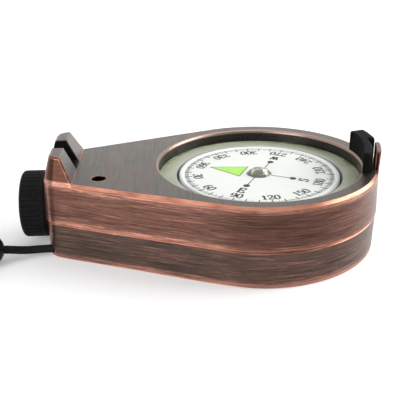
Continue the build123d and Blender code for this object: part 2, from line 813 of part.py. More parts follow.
# ---------------------------------------------------------------- lanyard

with BuildPart() as lanyard_pin:
    with BuildSketch(level(0)):
        with Locations((-end_distance + cord_pin_from_end, cord_exit_y)):
            Circle(cord_pin_radius)
    extrude(amount=cord_pin_height)

# Route of the cord: distance beyond the end of the case, place across it and height. It leaves the case,
# rises through the bead and comes down to the coil.
cord_route = [
    (-4.15, -9.3, 1.8),
    (0.65, -9.3, 1.78),
    (5.45, -10.3, 1.9),
    (9.85, -12.9, 3.7),
    (17.85, -14.9, 4.6),
    (24.05, -14.9, 2.2),
    (29.25, -14.2, 1.1),
]


def bend_radii(route):
    """Arc at each corner of a route, that takes up an even share of the shorter run beside it."""
    corners = [Vector(*point) for point in route]
    radii = []
    for before, corner, after in zip(corners, corners[1:], corners[2:]):
        arriving = corner - before
        leaving = after - corner
        half_turn = math.radians(arriving.get_angle(leaving)) / 2
        radii.append(bend_share * min(arriving.length, leaving.length) / math.tan(half_turn))
    return radii


with BuildPart() as lanyard_cord:
    route = [(dial_x - end_distance - beyond, y, z) for beyond, y, z in cord_route]
    radii = bend_radii(route)
    with BuildLine() as cord_line:
        FilletPolyline(*route, radius=radii)
    with BuildSketch(Plane(cord_line.line @ 0, z_dir=cord_line.line % 0)):
        Circle(cord_diameter / 2)
    sweep(path=cord_line.line)

bead_entry = Vector(*route[3])
bead_exit = Vector(*route[4])

with BuildPart() as lanyard_bead:
    with Locations((bead_entry + bead_exit) / 2):
        Sphere(bead_radius)
    with BuildSketch(Plane(bead_entry, z_dir=bead_exit - bead_entry)):
        Circle(cord_diameter / 2 + running_gap)
    extrude(amount=4 * bead_radius, both=True, mode=Mode.SUBTRACT)

with BuildPart() as lanyard_coil:
    with BuildSketch(level(0)):
        with Locations((-end_distance - coil_reach, coil_y)):
            Circle(coil_outer_radius)
            Circle(coil_inner_radius, mode=Mode.SUBTRACT)
    extrude(amount=coil_height)
    fillet(edges(), radius=coil_edge)

with BuildPart() as lanyard_knot:
    with Locations((dial_x - end_distance - coil_reach, coil_y, knot_radius)):
        with PolarLocations(coil_outer_radius + knot_radius, 1, start_angle=knot_angle):
            Sphere(knot_radius)

# ---------------------------------------------------------------- labels and files

pieces = {
    "upper_housing": upper_housing,
    "lower_housing": lower_housing,
    "case_gasket": case_gasket,
    "case_screws": case_screws,
    "trim_screw": trim_screw,
    "compass_window": compass_window,
    "capsule_ring": capsule_ring,
    "compass_capsule": compass_capsule,
    "capsule_seal": capsule_seal,
    "compass_pivot": compass_pivot,
    "compass_card": compass_card,
    "card_hub": card_hub,
    "card_jewel": card_jewel,
    "card_magnets": card_magnets,
    "clinometer_window": clinometer_window,
    "clinometer_seal": clinometer_seal,
    "clinometer_capsule": clinometer_capsule,
    "capsule_pad": capsule_pad,
    "clinometer_disc": clinometer_disc,
    "clinometer_weight": clinometer_weight,
    "clinometer_axle": clinometer_axle,
    "clinometer_jewels": clinometer_jewels,
    "eyepiece_barrel": eyepiece_barrel,
    "barrel_seal": barrel_seal,
    "focus_ring": focus_ring,
    "ring_clip": ring_clip,
    "lens_cell": lens_cell,
    "focus_pin": focus_pin,
    "eyepiece_lens": eyepiece_lens,
    "lens_retainer": lens_retainer,
    "index_frame": index_frame,
    "rear_sight_insert": rear_sight_insert,
    "front_sight": front_sight,
    "lanyard_pin": lanyard_pin,
    "lanyard_cord": lanyard_cord,
    "lanyard_bead": lanyard_bead,
    "lanyard_coil": lanyard_coil,
    "lanyard_knot": lanyard_knot,
}

os.makedirs("parts", exist_ok=True)
for name, piece in pieces.items():
    piece.part.label = name
    export_step(piece.part, f"parts/{name}.step")

tube_length = sum(edge.length for edge in cord_line.edges())
tube_volume = math.pi * (cord_diameter / 2) ** 2 * tube_length
print("dial axis at X", round(dial_x, 3), "case height", round(case_height, 2))
print("cord bend radii", [round(radius, 1) for radius in radii])
print("cord tube length", round(tube_length, 1), "volume", round(lanyard_cord.part.volume, 2),
      "section times length", round(tube_volume, 2))
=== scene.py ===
import bpy
import bmesh
import math
from mathutils import Matrix, Vector


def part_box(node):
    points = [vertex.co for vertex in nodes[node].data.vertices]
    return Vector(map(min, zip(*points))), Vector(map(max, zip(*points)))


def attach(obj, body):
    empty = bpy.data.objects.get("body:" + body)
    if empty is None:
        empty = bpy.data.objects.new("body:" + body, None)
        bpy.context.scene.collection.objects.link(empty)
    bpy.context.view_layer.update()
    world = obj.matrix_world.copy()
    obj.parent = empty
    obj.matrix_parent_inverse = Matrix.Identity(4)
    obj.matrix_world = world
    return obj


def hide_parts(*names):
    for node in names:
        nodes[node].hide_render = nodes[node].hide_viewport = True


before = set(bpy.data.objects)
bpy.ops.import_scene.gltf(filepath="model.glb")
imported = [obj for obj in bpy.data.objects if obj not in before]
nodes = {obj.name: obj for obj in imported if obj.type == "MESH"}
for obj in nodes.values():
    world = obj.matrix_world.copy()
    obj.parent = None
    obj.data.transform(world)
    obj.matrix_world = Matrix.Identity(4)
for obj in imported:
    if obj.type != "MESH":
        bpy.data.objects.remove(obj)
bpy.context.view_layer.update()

MM = 0.001
WHITE = (1, 1, 1)


def middle(node):
    """Centre of a CAD node's box."""
    low, high = (Vector(corner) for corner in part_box(node))
    return (low + high) / 2


def top(node):
    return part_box(node)[1][2]


def bottom(node):
    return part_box(node)[0][2]


DIAL_X = middle("compass_card").x


def at_dial(x, y, z):
    """Point from distances in millimetres: along X from the dial axis, across it, and above the underside."""
    return Vector((DIAL_X + x * MM, y * MM, z * MM))


# ---------------------------------------------------------------- camera

# The camera, in millimetres from the dial axis on the floor, and in degrees.
CAMERA_PLACE = (-21.71, -168.28, 82.84)
CAMERA_AZIMUTH = -2.482
CAMERA_ELEVATION = 23.222
CAMERA_ROLL = -0.581
CAMERA_CLIP_START = 0.005
SENSOR_WIDTH = 36
FRAME_PIXELS = 400
FOCAL_PIXELS = 705.471
OFF_CENTRE_PIXELS = (3.248, -2.781)


def make_camera():
    azimuth = math.radians(CAMERA_AZIMUTH)
    elevation = math.radians(CAMERA_ELEVATION)
    back = Vector((math.sin(azimuth) * math.cos(elevation), -math.cos(azimuth) * math.cos(elevation),
                   math.sin(elevation)))
    right = Vector((math.cos(azimuth), math.sin(azimuth), 0))
    up = back.cross(right)
    roll = Matrix.Rotation(math.radians(CAMERA_ROLL), 3, back)
    turned = Matrix((roll @ right, roll @ up, back)).transposed().to_4x4()
    camera = bpy.data.cameras.new("camera")
    camera.sensor_width = SENSOR_WIDTH
    camera.lens = FOCAL_PIXELS / FRAME_PIXELS * SENSOR_WIDTH
    camera.shift_x = -OFF_CENTRE_PIXELS[0] / FRAME_PIXELS
    camera.shift_y = OFF_CENTRE_PIXELS[1] / FRAME_PIXELS
    camera.clip_start = CAMERA_CLIP_START
    holder = bpy.data.objects.new("camera", camera)
    bpy.context.collection.objects.link(holder)
    holder.matrix_world = Matrix.Translation(at_dial(*CAMERA_PLACE)) @ turned
    bpy.context.scene.camera = holder


bpy.context.scene.view_settings.view_transform = "Standard"
make_camera()


# ---------------------------------------------------------------- node helpers


def new_material(name):
    """Empty node material; returns it, its tree and its output."""
    material = bpy.data.materials.new(name)
    material.use_nodes = True
    tree = material.node_tree
    tree.nodes.clear()
    output = tree.nodes.new("ShaderNodeOutputMaterial")
    return material, tree, output


def feed(tree, socket, value):
    """Gives a socket a number, a colour or another node's output."""
    if isinstance(value, tuple):
        socket.default_value = (*value, 1)
    elif isinstance(value, (int, float)):
        socket.default_value = value
    else:
        tree.links.new(value, socket)


def math_node(tree, operation, *inputs):
    node = tree.nodes.new("ShaderNodeMath")
    node.operation = operation
    for index, value in enumerate(inputs):
        feed(tree, node.inputs[index], value)
    return node.outputs[0]


def folded(tree, operation, first, *others):
    """One operation over several values, from the left."""
    for other in others:
        first = math_node(tree, operation, first, other)
    return first


def product(tree, *values):
    return folded(tree, "MULTIPLY", *values)


def added(tree, *values):
    return folded(tree, "ADD", *values)


def highest(tree, *values):
    return folded(tree, "MAXIMUM", *values)


def rest_of(tree, share):
    return math_node(tree, "SUBTRACT", 1.0, share)


def vector_measure(tree, operation, *vectors):
    """Length of a vector, or distance or dot product of two."""
    node = tree.nodes.new("ShaderNodeVectorMath")
    node.operation = operation
    for index, vector in enumerate(vectors):
        if isinstance(vector, Vector):
            node.inputs[index].default_value = vector
        else:
            tree.links.new(vector, node.inputs[index])
    return node.outputs["Value"]


def seen_by(tree, *rays):
    """1 for the named kinds of ray, 0 for the rest."""
    path = tree.nodes.new("ShaderNodeLightPath")
    return highest(tree, *(path.outputs[ray] for ray in rays))


def coordinates(tree, kind):
    return tree.nodes.new("ShaderNodeTexCoord").outputs[kind]


def parts_of(tree, vector):
    node = tree.nodes.new("ShaderNodeSeparateXYZ")
    tree.links.new(vector, node.inputs[0])
    return node.outputs


def put_together(tree, x=0.0, y=0.0, z=0.0):
    node = tree.nodes.new("ShaderNodeCombineXYZ")
    for index, value in enumerate((x, y, z)):
        feed(tree, node.inputs[index], value)
    return node.outputs[0]


def noise(tree, scale, detail=2.0, roughness=0.5):
    """Noise from 0 to 1 in the row frame, with a scale per metre for each axis."""
    mapping = tree.nodes.new("ShaderNodeMapping")
    mapping.inputs["Scale"].default_value = scale
    tree.links.new(coordinates(tree, "Object"), mapping.inputs["Vector"])
    node = tree.nodes.new("ShaderNodeTexNoise")
    node.inputs["Scale"].default_value = 1.0
    node.inputs["Detail"].default_value = detail
    node.inputs["Roughness"].default_value = roughness
    tree.links.new(mapping.outputs[0], node.inputs["Vector"])
    return node.outputs["Fac"]


def ramp(tree, value, *stops):
    """Colour by value, from (position, colour) stops."""
    node = tree.nodes.new("ShaderNodeValToRGB")
    elements = node.color_ramp.elements
    while len(elements) < len(stops):
        elements.new(0.5)
    for element, (position, colour) in zip(elements, stops):
        element.position = position
        element.color = (*colour, 1)
    tree.links.new(value, node.inputs["Fac"])
    return node.outputs["Color"]


def map_range(tree, value, source, target):
    node = tree.nodes.new("ShaderNodeMapRange")
    node.inputs["From Min"].default_value, node.inputs["From Max"].default_value = source
    node.inputs["To Min"].default_value, node.inputs["To Max"].default_value = target
    tree.links.new(value, node.inputs["Value"])
    return node


def between(tree, value, low, high):
    """0 below low, 1 above high, smooth between. High below low turns it round."""
    target = (0.0, 1.0) if low < high else (1.0, 0.0)
    node = map_range(tree, value, (min(low, high), max(low, high)), target)
    node.interpolation_type = "SMOOTHSTEP"
    return node.outputs["Result"]


def between_mm(tree, value, low, high):
    return between(tree, value, low * MM, high * MM)


def mixed(tree, share, first, second, kind="MIX"):
    node = tree.nodes.new("ShaderNodeMix")
    node.data_type = "RGBA"
    node.blend_type = kind
    for index, value in ((0, share), (6, first), (7, second)):
        feed(tree, node.inputs[index], value)
    return node.outputs[2]


def mixed_shader(tree, share, first, second):
    node = tree.nodes.new("ShaderNodeMixShader")
    feed(tree, node.inputs[0], share)
    tree.links.new(first.outputs[0], node.inputs[1])
    tree.links.new(second.outputs[0], node.inputs[2])
    return node


EDGE_SAMPLES = 4
EDGE_START = 0.995


def near_edges(tree, radius, full):
    """0 on even faces and 1 beside edges, with a reach of the radius in millimetres."""
    bevel = tree.nodes.new("ShaderNodeBevel")
    bevel.samples = EDGE_SAMPLES
    bevel.inputs["Radius"].default_value = radius * MM
    geometry = tree.nodes.new("ShaderNodeNewGeometry")
    agreement = vector_measure(tree, "DOT_PRODUCT", bevel.outputs[0], geometry.outputs["Normal"])
    return between(tree, agreement, EDGE_START, 1 - full)


def rough_up(tree, bsdf, height, strength, distance):
    """Bump of a given height in millimetres."""
    node = tree.nodes.new("ShaderNodeBump")
    node.inputs["Strength"].default_value = strength
    node.inputs["Distance"].default_value = distance * MM
    tree.links.new(height, node.inputs["Height"])
    tree.links.new(node.outputs[0], bsdf.inputs["Normal"])


def surface(name, colour=(0.5, 0.5, 0.5), roughness=0.5, **others):
    """Material with one Principled shader; other keywords are its sockets, with spaces as underscores."""
    material, tree, output = new_material(name)
    bsdf = tree.nodes.new("ShaderNodeBsdfPrincipled")
    tree.links.new(bsdf.outputs[0], output.inputs["Surface"])
    bsdf.inputs["Base Color"].default_value = (*colour, 1)
    bsdf.inputs["Roughness"].default_value = roughness
    for socket, value in others.items():
        bsdf.inputs[socket.replace("_", " ")].default_value = value
    return material, tree, bsdf


def dress(material, *names):
    """Gives CAD nodes a material."""
    for name in names:
        nodes[name].data.materials.clear()
        nodes[name].data.materials.append(material)


# ---------------------------------------------------------------- floor, world and lamps

LAMP_TARGET = (-10, 0, 10)
FLOOR_HALF = 3.0
FLOOR_COLOUR = (0.82, 0.82, 0.82)
# The floor glows for the camera, gloss and glass, and less beside the object, where its shadow has to show:
# the least glow, and the distances in metres over which it grows to 1.
FLOOR_GLOW = 0.27
FLOOR_FADE = (0.14, 0.6)
WORLD_LIGHT = 0.34
# The room that gloss mirrors is dark towards the front (-Y) and white elsewhere. It darkens between these
# parts of the direction.
DIM_FRONT = (0.2, 0.8)
DIM_COLOUR = (0.03, 0.03, 0.03)
# Name, place in millimetres from the dial axis and the floor, size in metres and power in watts.
LAMPS = (
    ("lamp_above", (60, 60, 500), 0.5, 0.8),
    ("lamp_left", (-400, -390, 200), 0.35, 2.1),
    ("lamp_right", (430, 60, 220), 0.4, 3.1),
)


def make_floor():
    """White floor that keeps the object's shadow."""
    corners = [(-FLOOR_HALF, -FLOOR_HALF, 0), (FLOOR_HALF, -FLOOR_HALF, 0), (FLOOR_HALF, FLOOR_HALF, 0),
               (-FLOOR_HALF, FLOOR_HALF, 0)]
    mesh = bpy.data.meshes.new("floor")
    mesh.from_pydata(corners, [], [(0, 1, 2, 3)])
    floor = bpy.data.objects.new("floor", mesh)
    bpy.context.collection.objects.link(floor)
    material, tree, output = new_material("floor_white")
    matte = tree.nodes.new("ShaderNodeBsdfDiffuse")
    feed(tree, matte.inputs["Color"], FLOOR_COLOUR)
    away = vector_measure(tree, "LENGTH", coordinates(tree, "Object"))
    strength = added(tree, product(tree, between(tree, away, *FLOOR_FADE), 1 - FLOOR_GLOW), FLOOR_GLOW)
    shown = seen_by(tree, "Is Camera Ray", "Is Glossy Ray", "Is Transmission Ray")
    glow = tree.nodes.new("ShaderNodeEmission")
    feed(tree, glow.inputs["Color"], WHITE)
    feed(tree, glow.inputs["Strength"], product(tree, strength, shown))
    both = tree.nodes.new("ShaderNodeAddShader")
    tree.links.new(matte.outputs[0], both.inputs[0])
    tree.links.new(glow.outputs[0], both.inputs[1])
    tree.links.new(both.outputs[0], output.inputs["Surface"])
    floor.data.materials.append(material)


def background(tree, strength, colour=WHITE):
    node = tree.nodes.new("ShaderNodeBackground")
    feed(tree, node.inputs["Color"], colour)
    feed(tree, node.inputs["Strength"], strength)
    return node


def make_world():
    """White behind the object, an even light on it, and the room that gloss mirrors."""
    world = bpy.data.worlds.new("world")
    bpy.context.scene.world = world
    world.use_nodes = True
    tree = world.node_tree
    tree.nodes.clear()
    output = tree.nodes.new("ShaderNodeOutputWorld")
    towards_front = product(tree, parts_of(tree, coordinates(tree, "Generated"))[1], -1.0)
    room = mixed(tree, between(tree, towards_front, *DIM_FRONT), WHITE, DIM_COLOUR)
    light = mixed_shader(tree, seen_by(tree, "Is Glossy Ray"), background(tree, WORLD_LIGHT),
                         background(tree, 1.0, room))
    everything = mixed_shader(tree, seen_by(tree, "Is Camera Ray", "Is Transmission Ray"), light,
                              background(tree, 1.0))
    tree.links.new(everything.outputs[0], output.inputs["Surface"])


def make_lamp(name, place, size, power):
    """Square area lamp; its place in millimetres, its size in metres."""
    lamp = bpy.data.lights.new(name, "AREA")
    lamp.shape = "RECTANGLE"
    lamp.size = lamp.size_y = size
    lamp.energy = power
    holder = bpy.data.objects.new(name, lamp)
    bpy.context.collection.objects.link(holder)
    holder.location = at_dial(*place)
    holder.rotation_euler = (at_dial(*LAMP_TARGET) - at_dial(*place)).to_track_quat("-Z", "Y").to_euler()


make_floor()
make_world()
for lamp in LAMPS:
    make_lamp(*lamp)


# ---------------------------------------------------------------- case metal

# Measures of the case in millimetres, from the dial axis or above the underside.
CASE_HEIGHT = 20.2
END_REACH = 53.75
WINDOW_RADIUS = 25.6
LIP_WIDTH = 0.75
TRIM_HOLE = (-40.0, -9.3)
TRIM_HOLE_RADIUS = 1.9

# Noise of the metal: scales, detail and roughness.
SIDE_BRUSHING = ((110, 110, 3000), 5, 0.8)
SIDE_PATCHES = ((45, 45, 380), 2, 0.5)
TOP_BRUSHING = ((1900, 90, 90), 3, 0.6)
TOP_PATCHES = ((120, 50, 50), 3, 0.6)
EDGE_BREAKS = ((260, 260, 260), 3, 0.7)
EDGE_PATCHES = ((150, 150, 600), 3, 0.6)
BRUSHING_SHARE = 0.85
METALLIC = 0.85
ANISOTROPY = 0.8
METAL_ROUGHNESS = (0.27, 0.40)
ROUGHNESS_NOISE = (0.3, 0.7)

# Where its looks change, for between() and between_mm(): in millimetres along X from the dial axis, up from
# the underside or out from an axis, or in parts of the normal or of a noise.
# Beside the dial, where shading is painted: darker on the upper half, lighter on the lower half.
BESIDE_DIAL = ((-25, 3), (26, 6))
# The rounded end corner, where a highlight is painted.
AT_CORNER = (2.4 - END_REACH, 0.8 - END_REACH)
ABOVE_BODY = (CASE_HEIGHT + 0.2, CASE_HEIGHT + 0.35)
RUBBED_REACH = (1.9, 0.2)
FACES_UP = (0.86, 0.96)
EAR_FACES_AHEAD = (0.45, 0.7)
CHAMFER_SLOPE = ((0.3, 0.55), (0.97, 0.86))
LIP_RADIUS = (WINDOW_RADIUS + LIP_WIDTH, WINDOW_RADIUS + 0.6)
LIP_HEIGHT = (CASE_HEIGHT - 1.0, CASE_HEIGHT - 0.8)
BORE_RADIUS = (WINDOW_RADIUS + 0.08, WINDOW_RADIUS + 0.02)
BORE_HEIGHT = (CASE_HEIGHT - 0.68, CASE_HEIGHT - 0.9)
HOLE_RADIUS = (TRIM_HOLE_RADIUS + 0.05, TRIM_HOLE_RADIUS)
HOLE_HEIGHT = (CASE_HEIGHT - 0.02, CASE_HEIGHT - 0.25)
POCKET_X = (23.5, 24)
POCKET_FACES_FRONT = (-0.6, -0.8)
POCKET_SLOPE = tuple(-math.tan(math.radians(turn)) for turn in (19.8, 19.5))
PATCH_NOISE = (0.42, 0.66)
TOP_GRAIN_NOISE = (0.3, 0.75)
BREAK_NOISE = (0.28, 0.6)
EAR_WEAR_NOISE = (0.5, 0.85)

# How strong each change is.
# Painted highlight: how far the rounded end corner is lifted towards the lighter streaks.
CORNER_PAINTED_HIGHLIGHT = 0.17
EDGE_REACH = 0.5
EDGE_FULL = 0.05
EAR_EDGE_LOSS = 0.2
EAR_WEAR = 0.5
EAR_PATINA_SHARE = 0.85

# Colours.
TOP_GRAIN = (0.72, 0.70, 0.68)
EDGE_TONES = ((0.3, (0.34, 0.125, 0.08)), (0.5, (0.52, 0.215, 0.14)), (0.7, (0.64, 0.32, 0.23)))
EAR_PATINA = (0.050, 0.017, 0.008)
POCKET_COLOUR = (0.012, 0.010, 0.009)
# Painted highlight: the window's bevelled lip is painted a light pinkish grey.
LIP_PAINTED_HIGHLIGHT = (0.36, 0.25, 0.21)
# Painted shade: the wall of the window's bore is painted near black.
BORE_PAINTED_SHADE = (0.030, 0.026, 0.022)
# Painted shade: the inside of the trim hole is painted near black.
HOLE_PAINTED_SHADE = (0.006, 0.005, 0.005)
UPPER_STREAKS = ((0.32, (0.034, 0.018, 0.014)), (0.46, (0.105, 0.049, 0.037)), (0.57, (0.175, 0.082, 0.060)),
                 (0.70, (0.52, 0.25, 0.18)))
LOWER_STREAKS = ((0.32, (0.030, 0.022, 0.018)), (0.47, (0.062, 0.044, 0.037)), (0.58, (0.13, 0.072, 0.056)),
                 (0.71, (0.38, 0.19, 0.14)))


def wear_of_side(tree, brushing, x, height, rubbed_heights, rub, painted_shading_beside_dial):
    """How far the copper shows on the sides, for the ramp of streaks, with painted shading beside the dial
    and a painted highlight at the end corner.
    """
    streak_level = added(tree, product(tree, brushing, BRUSHING_SHARE),
                 product(tree, noise(tree, *SIDE_PATCHES), 1 - BRUSHING_SHARE))
    for edge_height in rubbed_heights:
        off = math_node(tree, "ABSOLUTE", math_node(tree, "SUBTRACT", height, edge_height * MM))
        streak_level = added(tree, streak_level, product(tree, between_mm(tree, off, *RUBBED_REACH), rub))
    # Painted shading beside the dial: darker on the upper half, lighter on the lower half.
    from_left, from_right = (between(tree, x, *(DIAL_X + end * MM for end in ends)) for ends in BESIDE_DIAL)
    # Painted highlight at the rounded end corner, lifted towards the lighter streaks.
    at_corner = between(tree, x, *(DIAL_X + end * MM for end in AT_CORNER))
    return added(tree, streak_level, product(tree, from_left, from_right, painted_shading_beside_dial),
                 product(tree, at_corner, CORNER_PAINTED_HIGHLIGHT))


def case_metal(name, streaks, top_colour, mottle, rubbed_heights, rub, painted_shading_beside_dial):
    """Brushed metal with a dark patina: copper shows in the streaks of the sides and along the edges."""
    material, tree, bsdf = surface(name, Metallic=METALLIC, Anisotropic=ANISOTROPY)
    x, y, height = parts_of(tree, coordinates(tree, "Object"))
    ahead, sideways, upward = parts_of(tree, coordinates(tree, "Normal"))
    slope = math_node(tree, "ABSOLUTE", upward)
    flat = put_together(tree, x, y)
    radius = vector_measure(tree, "DISTANCE", flat, at_dial(0, 0, 0))

    side_brushing = noise(tree, *SIDE_BRUSHING)
    streak_level = wear_of_side(tree, side_brushing, x, height, rubbed_heights, rub, painted_shading_beside_dial)
    top_brushing = noise(tree, *TOP_BRUSHING)
    top = mixed(tree, between(tree, noise(tree, *TOP_PATCHES), *PATCH_NOISE), top_colour, mottle)
    top = mixed(tree, between(tree, top_brushing, *TOP_GRAIN_NOISE), top, TOP_GRAIN, "MULTIPLY")
    above = between_mm(tree, height, *ABOVE_BODY)
    is_top = highest(tree, between(tree, upward, *FACES_UP),
                     product(tree, above, between(tree, ahead, *EAR_FACES_AHEAD)))
    is_ear_side = product(tree, above, rest_of(tree, is_top))
    colour = mixed(tree, is_top, ramp(tree, streak_level, *streaks), top)
    colour = mixed(tree, product(tree, is_ear_side, EAR_PATINA_SHARE), colour, EAR_PATINA)

    # The window's bevelled lip gets a painted highlight below, and chamfer and edge copper stay off it.
    off_lip = rest_of(tree, product(tree, between_mm(tree, radius, *LIP_RADIUS),
                                    between_mm(tree, height, *LIP_HEIGHT)))
    chamfer = product(tree, *(between(tree, slope, *ends) for ends in CHAMFER_SLOPE), rest_of(tree, above),
                      off_lip)
    rubbed = product(tree, near_edges(tree, EDGE_REACH, EDGE_FULL),
                     between(tree, noise(tree, *EDGE_BREAKS), *BREAK_NOISE),
                     rest_of(tree, product(tree, above, EAR_EDGE_LOSS)), off_lip)
    ear_wear = product(tree, is_ear_side, between(tree, streak_level, *EAR_WEAR_NOISE), EAR_WEAR)
    edge = highest(tree, chamfer, rubbed, ear_wear)
    colour = mixed(tree, edge, colour, ramp(tree, noise(tree, *EDGE_PATCHES), *EDGE_TONES))

    pocket_slope = math_node(tree, "DIVIDE", y, math_node(tree, "SUBTRACT", x, DIAL_X))
    in_pocket = product(tree, above, between(tree, x, *(DIAL_X + end * MM for end in POCKET_X)),
                        between(tree, sideways, *POCKET_FACES_FRONT),
                        between(tree, pocket_slope, *POCKET_SLOPE))
    colour = mixed(tree, in_pocket, colour, POCKET_COLOUR)
    # Painted highlight on the window's bevelled lip.
    colour = mixed(tree, rest_of(tree, off_lip), colour, LIP_PAINTED_HIGHLIGHT)
    # Painted shade on the wall of the window's bore, near black.
    painted_shade_in_bore = product(tree, between_mm(tree, radius, *BORE_RADIUS), between_mm(tree, height, *BORE_HEIGHT))
    colour = mixed(tree, painted_shade_in_bore, colour, BORE_PAINTED_SHADE)
    # Painted shade inside the trim hole, near black.
    from_hole = vector_measure(tree, "DISTANCE", flat, at_dial(*TRIM_HOLE, 0))
    painted_shade_in_hole = product(tree, between_mm(tree, from_hole, *HOLE_RADIUS), between_mm(tree, height, *HOLE_HEIGHT))
    colour = mixed(tree, painted_shade_in_hole, colour, HOLE_PAINTED_SHADE)
    tree.links.new(colour, bsdf.inputs["Base Color"])

    across_brushing = put_together(tree, x=is_top, z=rest_of(tree, is_top))
    tree.links.new(across_brushing, bsdf.inputs["Tangent"])
    rough_up(tree, bsdf, mixed(tree, is_top, side_brushing, top_brushing), strength=0.35, distance=0.02)
    rougher = map_range(tree, side_brushing, ROUGHNESS_NOISE, METAL_ROUGHNESS)
    tree.links.new(rougher.outputs["Result"], bsdf.inputs["Roughness"])
    return material


# The last argument paints shading beside the dial: darker on the upper half, lighter on the lower half.
dress(case_metal("case_upper_metal", UPPER_STREAKS, (0.137, 0.127, 0.114), (0.170, 0.128, 0.110),
                 rubbed_heights=(9.5, CASE_HEIGHT - 0.6), rub=0.13, painted_shading_beside_dial=-0.05),
      "upper_housing")
dress(case_metal("case_lower_metal", LOWER_STREAKS, (0.13, 0.115, 0.10), (0.14, 0.11, 0.095),
                 rubbed_heights=(0.3,), rub=0.2, painted_shading_beside_dial=0.03),
      "lower_housing")


# ---------------------------------------------------------------- mouldings, rubber and small metal parts


def moulding(name, colour, edge_highlight, roughness, grain, edge_reach, specular=0.07):
    """Black moulded plastic: fine grain, with painted highlights that make its edges a little lighter."""
    material, tree, bsdf = surface(name, colour, roughness, Specular_IOR_Level=specular)
    tone = noise(tree, (grain, grain, grain), detail=3, roughness=0.6)
    base = mixed(tree, between(tree, tone, 0.35, 0.7), colour, tuple(1.6 * c for c in colour))
    # Painted highlight: the edges are mixed towards a lighter colour.
    highlighted_edges = mixed(tree, near_edges(tree, edge_reach, 0.15), base, edge_highlight)
    tree.links.new(highlighted_edges, bsdf.inputs["Base Color"])
    rough_up(tree, bsdf, tone, strength=0.25, distance=0.03)
    return material


def turned_metal(name, colour, bright, roughness, metallic=1.0):
    """Turned or ground metal with fine lines."""
    material, tree, bsdf = surface(name, colour, roughness, Metallic=metallic)
    lines = noise(tree, (1800, 1800, 2600), detail=2)
    tree.links.new(ramp(tree, lines, (0.35, colour), (0.65, bright)), bsdf.inputs["Base Color"])
    rough_up(tree, bsdf, lines, strength=0.2, distance=0.01)
    return material


dress(moulding("black_moulding", (0.006, 0.006, 0.006), (0.07, 0.066, 0.062), roughness=0.45, grain=900,
               edge_reach=0.1, specular=0.02),
      "eyepiece_barrel", "rear_sight_insert", "front_sight")
dress(moulding("ring_black", (0.005, 0.005, 0.0055), (0.04, 0.04, 0.042), roughness=0.46, grain=1200,
               edge_reach=0.12),
      "focus_ring")
dress(moulding("rubber_black", (0.016, 0.015, 0.014), (0.02, 0.02, 0.02), roughness=0.7, grain=1500,
               edge_reach=0.1),
      "case_gasket", "capsule_seal", "clinometer_seal", "capsule_pad", "barrel_seal")
dress(turned_metal("steel", (0.48, 0.48, 0.48), (0.68, 0.68, 0.68), roughness=0.3),
      "case_screws", "compass_pivot", "clinometer_axle", "ring_clip", "focus_pin", "lanyard_pin")
dress(turned_metal("dark_steel", (0.035, 0.034, 0.034), (0.07, 0.068, 0.066), roughness=0.45, metallic=0.7),
      "trim_screw", "card_magnets", "lens_cell", "lens_retainer", "index_frame")
dress(turned_metal("brass", (0.62, 0.45, 0.18), (0.80, 0.62, 0.30), roughness=0.32), "clinometer_weight")


# ---------------------------------------------------------------- clear parts, ring and card

CLEAR_ROUGHNESS = 0.03
CLEAR_IOR = 1.47


def clear(name, tint, shine, coat=WHITE):
    """Clear plastic or glass: lets light through, and reflects by angle on its outer side."""
    material, tree, output = new_material(name)
    through = tree.nodes.new("ShaderNodeBsdfTransparent")
    feed(tree, through.inputs["Color"], tint)
    gloss = tree.nodes.new("ShaderNodeBsdfGlossy")
    feed(tree, gloss.inputs["Color"], coat)
    feed(tree, gloss.inputs["Roughness"], CLEAR_ROUGHNESS)
    fresnel = tree.nodes.new("ShaderNodeFresnel")
    feed(tree, fresnel.inputs["IOR"], CLEAR_IOR)
    outer = rest_of(tree, tree.nodes.new("ShaderNodeNewGeometry").outputs["Backfacing"])
    mix = mixed_shader(tree, product(tree, fresnel.outputs[0], outer, shine), through, gloss)
    tree.links.new(mix.outputs[0], output.inputs["Surface"])
    return material


def milky(name, colour, clearness):
    """Clouded plastic: part of the light goes straight through."""
    material, tree, bsdf = surface(name, colour, roughness=0.4)
    output = bsdf.outputs[0].links[0].to_socket
    mix = mixed_shader(tree, clearness, bsdf, tree.nodes.new("ShaderNodeBsdfTransparent"))
    tree.links.new(mix.outputs[0], output)
    return material


def satin(name, colour, second, grain, roughness, strength=0.1, specular=0.5):
    """Smooth plastic with a slight change of tone."""
    material, tree, bsdf = surface(name, colour, roughness, Specular_IOR_Level=specular)
    tone = noise(tree, (grain, grain, grain), detail=3, roughness=0.6)
    tree.links.new(mixed(tree, between(tree, tone, 0.35, 0.68), colour, second), bsdf.inputs["Base Color"])
    rough_up(tree, bsdf, tone, strength, distance=0.02)
    return material


dress(clear("window_clear", (0.985, 0.99, 0.98), shine=0.035), "compass_window", "clinometer_window")
dress(clear("capsule_clear", (0.97, 0.98, 0.965), shine=0.05), "clinometer_capsule")
dress(milky("capsule_milky", (0.62, 0.63, 0.60), clearness=0.25), "compass_capsule")
dress(clear("lens_coated", (0.93, 0.96, 0.97), shine=2.2, coat=(0.75, 0.62, 0.95)), "eyepiece_lens")
dress(satin("ring_green", (0.45, 0.475, 0.355), (0.39, 0.415, 0.315), grain=160, roughness=0.3),
      "capsule_ring")
dress(satin("card_white", (0.88, 0.88, 0.88), (0.86, 0.865, 0.86), grain=300, roughness=0.6, strength=0.05,
            specular=0.1),
      "compass_card", "clinometer_disc")
dress(satin("jewel_red", (0.30, 0.05, 0.05), (0.40, 0.08, 0.07), grain=900, roughness=0.12),
      "card_jewel", "clinometer_jewels")
dress(surface("hub_clear", (0.95, 0.96, 0.82), roughness=0.08, Transmission_Weight=0.85, IOR=1.45)[0],
      "card_hub")


# ---------------------------------------------------------------- printing of the card and the disc

